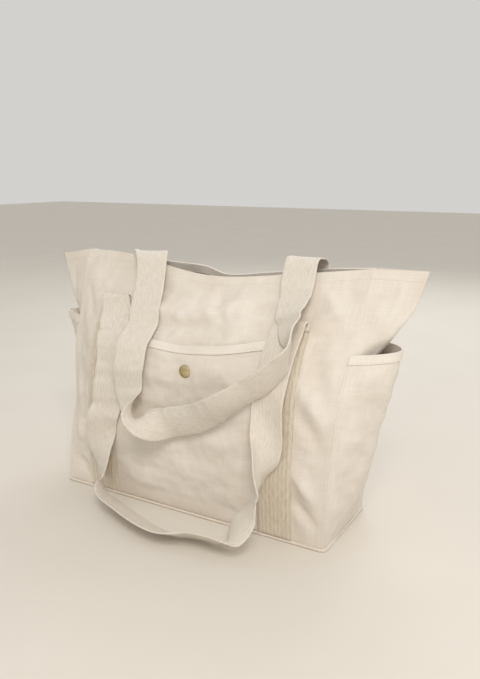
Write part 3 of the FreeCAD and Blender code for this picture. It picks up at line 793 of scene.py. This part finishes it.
SPLIT = pocket_grid.shape[1] // 2
pocket_trees = []
for name, part, ends in (
        ("left", pocket_grid[:, :SPLIT + 1], (-0.092, -0.012)),
        ("right", pocket_grid[:, SPLIT:], (0.092, 0.012))):
    half = cloth_from("front_pocket_" + name + "_half", part, canvas)
    pocket_trees.append(surface_tree(half))
    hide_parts("front_pocket")
    band_part = part[-HEM_ROWS:] + outward(part)[-HEM_ROWS:] * 1.15
    band = cloth_from("front_pocket_" + name + "_hem", band_part, hem_canvas, HEM_CLOTH)
    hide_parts("front_pocket_hem")
    edge = 1 if name == "left" else -2
    lines = [row_line(part, 1 - 9.0 / 200, 1.3), column_line(part, edge, 0.15)[:-2]]
    stitches = sew("front_pocket_" + name + "_stitches", lines, radius=0.36)
    for piece in (half, band, stitches):
        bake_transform(piece)


# ---------------------------------------------------------------- side pockets
SIDE_FOLDS = [
    ((0.18, 0.34), (0.40, 0.18), 7, 2.4),
    ((0.12, 0.62), (0.36, 0.50), 8, 2.0),
    ((0.22, 0.52), (0.44, 0.34), 7, -2.0),
    ((0.60, 0.30), (0.80, 0.62), 8, 2.2),
]


def side_pocket(side, name):
    """The patch pocket on one gusset, cut along its fold into a front and a back half."""
    top = 207

    def part_of(line, high):
        whole = line_through(line, 200)
        return [p for p in whole if p[2] <= high][::12] + [
            np.array([np.interp(high, whole[:, 2], whole[:, k]) for k in range(3)])]

    if side > 0:
        first, last = SEAM_FRONT_RIGHT, SEAM_BACK_RIGHT
        tip = [(178, 0, 4), (187, -4, 28), (202, -8, 66), (210, -9, 100), (217, -8, 140),
               (225, -5, 178), (230, 3, 211)]
        near = [(178, -30, 4), (184, -33, 28), (194, -37, 66), (199, -38, 100),
                (205, -36, 140), (211, -31, 178), (214, -16, 209)]
        far = [(178, 30, 4), (183, 28, 28), (191, 25, 66), (197, 24, 100), (203, 24, 140),
               (209, 26, 178), (215, 27, 210)]
    else:
        first, last = SEAM_FRONT_LEFT, SEAM_BACK_LEFT
        tip = [(-178, 2, 4), (-184, 4, 28), (-195, 6, 66), (-203, 8, 100), (-212, 10, 140),
               (-221, 14, 178), (-230, 17, 206)]
        near = [(-178, -28, 4), (-181, -22, 28), (-187, -17, 66), (-192, -12, 100),
                (-198, -8, 140), (-203, -3, 178), (-209, 2, 206)]
        far = [(-178, 30, 4), (-182, 30, 28), (-189, 31, 66), (-195, 32, 100), (-201, 33, 140),
               (-208, 34, 178), (-215, 33, 206)]
    proud = np.array([side * 0.3, 0.0, 0.0])
    front_edge = [p + proud for p in part_of(first, top)]
    back_edge = [p + proud for p in part_of(last, top)]
    columns = [front_edge, near, tip, far, back_edge]
    if side < 0:
        columns = columns[::-1]
    grid = spread(columns, 56, 80)
    grid = rumple(grid, SIDE_FOLDS, 2.4, 34, 20 + side, (1, 0.4, 1, 1))
    split = int(np.argmax(np.abs(grid[60, :, 0])))
    for first_half, part in ((True, grid[:, :split + 1]), (False, grid[:, split:])):
        half_name = "front" if first_half == (side > 0) else "back"
        piece = cloth_from(f"{name}_pocket_{half_name}_half", part, canvas)
        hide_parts(name + "_pocket")
        band_part = part[-HEM_ROWS:] + outward(part)[-HEM_ROWS:] * 1.1
        band = cloth_from(f"{name}_pocket_{half_name}_hem", band_part, hem_canvas, HEM_CLOTH)
        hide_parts(name + "_pocket_hem")
        edge = 1 if first_half else -2
        lines = [row_line(part, 1 - 9.0 / 205, 1.25), column_line(part, edge, 0.15)[:-2]]
        stitches = sew(f"{name}_pocket_{half_name}_stitches", lines, radius=0.36)
        for item in (piece, band, stitches):
            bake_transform(item)


side_pocket(1, "right")
side_pocket(-1, "left")


# ---------------------------------------------------------------- handles
def handle_line(stations):
    """Even places along a handle, the direction across it and its cup, from its stations."""
    rows = []
    for place, across, *cup in stations:
        across = np.array(across, float)
        rows.append([*place, *(across / np.linalg.norm(across)), *(cup or [0.0])])
    rows = np.array(rows, float)
    length = np.linalg.norm(np.diff(rows[:, :3], axis=0), axis=1).sum()
    smooth = line_through(rows, int(length / 2.5))
    return smooth[:, :3], smooth[:, 3:6], smooth[:, 6]


def lift_clear(places, across, behind):
    """Moves a strap's places forwards until its whole width clears what lies behind it.

    behind holds a surface and the room that the strap's middle keeps from it, in pairs."""
    _, w = square_to(places, across)
    start_y, ray_length = -400, 0.6
    front_side = -3     # places further back than this lie over the mouth and are left alone
    need = np.zeros(len(places))
    for i, place in enumerate(places):
        for share in (-1.0, -0.5, 0.0, 0.5, 1.0):
            point = place + w[i] * share * WEBBING / 2
            for tree, gap in behind:
                hit, _, _, _ = tree.ray_cast(Vector((point[0], start_y, point[2])) * MM,
                                             Vector((0, 1, 0)), ray_length)
                if hit is not None and place[1] < front_side:
                    need[i] = max(need[i], point[1] + gap - hit[1] / MM)
    spread_out = need.copy()
    for step in range(1, 7):
        fade = 1 - step / 8
        spread_out[step:] = np.maximum(spread_out[step:], need[:-step] * fade)
        spread_out[:-step] = np.maximum(spread_out[:-step], need[step:] * fade)
    moved = places.copy()
    moved[:, 1] -= spread_out
    return moved


def handle_piece(name, stations, replaced, start_run=0.0, behind=()):
    """A length of handle through its stations, and how far along the webbing it ends."""
    places, across, cups = handle_line(stations)
    if behind:
        places = lift_clear(places, across, behind)
    piece, run = strip(name, places, across, cups, WEBBING, WEBBING_DEPTH, strap, start_run)
    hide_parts(replaced)
    return piece, run


CLOSE = WEBBING_DEPTH / 2 + 0.7
POCKET_OPENS = 6.8      # how far the pocket's face comes forward as its mouth opens
left_top = web_tops["front_left"]
right_top = web_tops["front_right"]
FRONT_LOOP = [
    (left_top, (1, 0, 0)),
    (left_top + (0, 3.0, 5), (1, 0, 0)),
    (left_top + (0.5, -1, 8.5), (1, 0.03, 0)),
    (left_top + (1.5, -6, 5), (1, 0.06, 0)),
    ((-105, -32, 223), (1, 0.12, 0)),
    ((-97, -46, 204), (1, 0.12, -0.03)),
    ((-93, -59, 171), (1, 0.16, -0.03)),
    ((-98, -65, 123), (1, 0.2, 0.06)),
    ((-106, -67, 92), (0.97, 0.3, 0.06)),
    ((-109, -71, 71), (0.99, 0.06, 0.13)),
    ((-105, -75, 51), (0.88, -0.38, 0.3), 0.2),
    ((-102, -80, 28), (0.62, -0.7, 0.36), 0.2),
    ((-95, -87, 17), (0.35, -0.85, 0.42), 0.1),
    ((-79, -94, 12), (0.1, -0.88, 0.46)),
    ((-52, -104, 11), (0, -0.88, 0.475)),
    ((-14, -118, 11), (0, -0.88, 0.475)),
    ((16, -124.5, 11.5), (0, -0.88, 0.475)),
    ((34, -122, 12), (0, -0.85, 0.52)),
    ((52, -116, 13), (0, -0.79, 0.61)),
    ((72, -116, 14.5), (0, -0.77, 0.64)),
    ((90, -115.5, 15.5), (0.2, -0.76, 0.6), 0.2),
    ((97, -110, 19), (0.72, -0.68, 0.15), 0.6),
    ((103, -99, 33), (0.86, -0.5, 0.1), 0.6),
    ((107, -90, 47), (0.62, -0.76, 0.18), 0.5),
    ((110, -84, 58), (0.45, -0.88, 0.16), 0.5),
    ((115, -81, 70), (0.33, -0.93, 0.1), 0.7),
    ((117, -79, 86), (-0.1, -0.99, 0.1), 1.2),
    ((118, -75, 108), (-0.68, -0.72, 0.1), 2.0),
    ((115, -70, 130), (-0.98, -0.12, 0), 1.5),
    ((113, -66, 150), (-0.99, 0.1, 0), 0.6),
    ((114, -61, 172), (-1, 0.1, 0)),
    ((116, -47, 200), (-1, 0.06, 0)),
    (right_top + (-1.5, -6, 5), (-1, 0.03, 0)),
    (right_top + (-0.5, -1, 8.5), (-1, 0, 0)),
    (right_top + (0, 3.0, 5), (-1, 0, 0)),
    (right_top, (-1, 0, 0)),
]
front_handle, _ = handle_piece(
    "front_handle_webbing", FRONT_LOOP, "front_handle_loop", 0.0,
    [(tree, CLOSE) for tree in (front_tree, *web_trees, *pocket_trees)])
front_handle_tree = surface_tree(front_handle)
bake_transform(front_handle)

CROSS_LEFT = [
    (web_tops["back_left"], (1, 0, 0)),
    ((-109, 37.5, 282.5), (1, 0, 0)),
    ((-106, 33, 286.5), (1, 0.05, 0)),
    ((-96, 20, 289.5), (0.96, 0.25, 0)),
]
CROSS_RIGHT = [
    (web_tops["back_right"], (1, 0, 0)),
    ((115, 37, 288), (1, 0, 0)),
    ((116, 28, 293.5), (1, 0, 0)),
    ((117, 15, 296), (1, 0, 0)),
]
BACK_LOOP = [
    ((-96, 20, 289.5), (0.96, 0.25, 0)),
    ((-84, 8, 291.5), (0.96, 0.25, 0)),
    ((-75, -3, 287.5), (0.98, 0.2, 0)),
    ((-70, -13, 268), (1, 0.12, 0)),
    ((-65, -27, 243), (1, 0.12, 0)),
    ((-60, -44, 212), (1, 0.12, -0.08)),
    ((-59, -60, 180), (1, 0.14, -0.06)),
    ((-62, -67, 153), (1, 0.1, -0.05)),
    ((-60, -72, 136), (0.96, -0.2, 0.15)),
    ((-53, -76, 126), (0.8, -0.56, 0.22)),
    ((-43, -79, 118), (0.5, -0.85, 0.0), 0.3),
    ((-31, -78, 113), (0.25, -0.8, -0.5), 0.7),
    ((-19, -75, 112), (0.1, -0.35, -0.93), 0.9),
    ((-6, -74, 114), (-0.04, 0.15, -1), 0.9),
    ((8, -75, 119), (-0.06, 0.25, -0.97), 0.9),
    ((27, -76, 125), (-0.06, 0.3, -0.95), 1.0),
    ((50, -77, 137), (-0.05, 0.5, -0.85), 1.1),
    ((85, -78, 160), (0, 0.6, -0.78), 1.1),
    ((114, -76, 181), (0, 0.66, -0.72), 0.9),
    ((130, -67, 198), (-0.06, 0.72, -0.68), 0.6),
    ((136, -58, 210), (-0.31, 0.74, -0.59), 0.4),
    ((134, -48, 222), (-0.5, 0.8, -0.29), 0.3),
    ((128, -39, 233), (-0.78, 0.55, -0.3), 0.2),
    ((122, -25, 248), (-0.93, 0.3, -0.2)),
    ((118, -9, 272), (-1, 0, 0)),
    ((118, -2, 290), (-1, 0, 0)),
    ((118, 4, 296.5), (-1, 0, 0)),
    ((117, 15, 296), (-1, 0, 0)),
]
cross_left, left_run = handle_piece("back_handle_left_crossing_webbing", CROSS_LEFT,
                                    "back_handle_left_crossing")
cross_right, _ = handle_piece("back_handle_right_crossing_webbing", CROSS_RIGHT,
                              "back_handle_right_crossing")
for piece in (cross_left, cross_right):
    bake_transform(piece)
back_handle, _ = handle_piece("back_handle_webbing", BACK_LOOP, "back_handle_loop", left_run,
                              [(front_tree, CLOSE), (front_handle_tree, CLOSE),
                               *((tree, CLOSE + POCKET_OPENS) for tree in pocket_trees)])
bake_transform(back_handle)

# ---------------------------------------------------------------- snap
# the snap's four stamped parts keep their own turned shapes and only take the finish
for name in ("snap_cap", "snap_socket", "snap_stud", "snap_post"):
    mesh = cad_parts[name].data
    mesh.materials.clear()
    mesh.materials.append(brass)


# ---------------------------------------------------------------- stage, light, camera
def stage():
    """The floor and the even light all round."""
    mesh = bpy.data.meshes.new("floor")
    half = 6.0
    mesh.from_pydata([(-half, -half, 0), (half, -half, 0), (half, half, 0), (-half, half, 0)],
                     [], [(0, 1, 2, 3)])
    mesh.materials.append(pale_floor())
    floor = bpy.data.objects.new("floor", mesh)
    bpy.context.scene.collection.objects.link(floor)
    world = bpy.data.worlds.new("studio")
    bpy.context.scene.world = world
    world.use_nodes = True
    sky = world.node_tree.nodes["Background"]
    sky.inputs["Color"].default_value = linear("f4f2ee")
    sky.inputs["Strength"].default_value = 0.72


def lamp(name, place, aim, size, power, tint):
    """A square soft light at a place, turned to where it is aimed."""
    light = bpy.data.lights.new(name, "AREA")
    light.size = size
    light.energy = power
    light.color = linear(tint)[:3]
    holder = bpy.data.objects.new(name, light)
    holder.location = place
    way = Vector(aim) - Vector(place)
    holder.rotation_euler = way.to_track_quat("-Z", "Y").to_euler()
    bpy.context.scene.collection.objects.link(holder)


def camera():
    """Looks down a little at the bag's front and right side."""
    data = bpy.data.cameras.new("camera")
    data.sensor_width = 36.0
    data.lens = 36.5832
    data.clip_start = 0.01
    holder = bpy.data.objects.new("camera", data)
    holder.location = (0.4215, -0.6606, 0.387)
    holder.rotation_euler = (math.radians(76.2), 0, math.radians(29.8))
    bpy.context.scene.collection.objects.link(holder)
    bpy.context.scene.camera = holder


stage()
lamp("key", (0.75, -1.05, 1.35), (0, 0, 0.12), 0.6, 12.5, "fffaf3")
lamp("fill", (1.3, -0.3, 0.8), (0, 0, 0.15), 1.2, 1.5, "f6f7ff")
lamp("back", (-0.2, 1.3, 1.2), (0, 0, 0.2), 1.2, 8, "ffffff")
camera()
bpy.context.scene.view_settings.view_transform = "Standard"
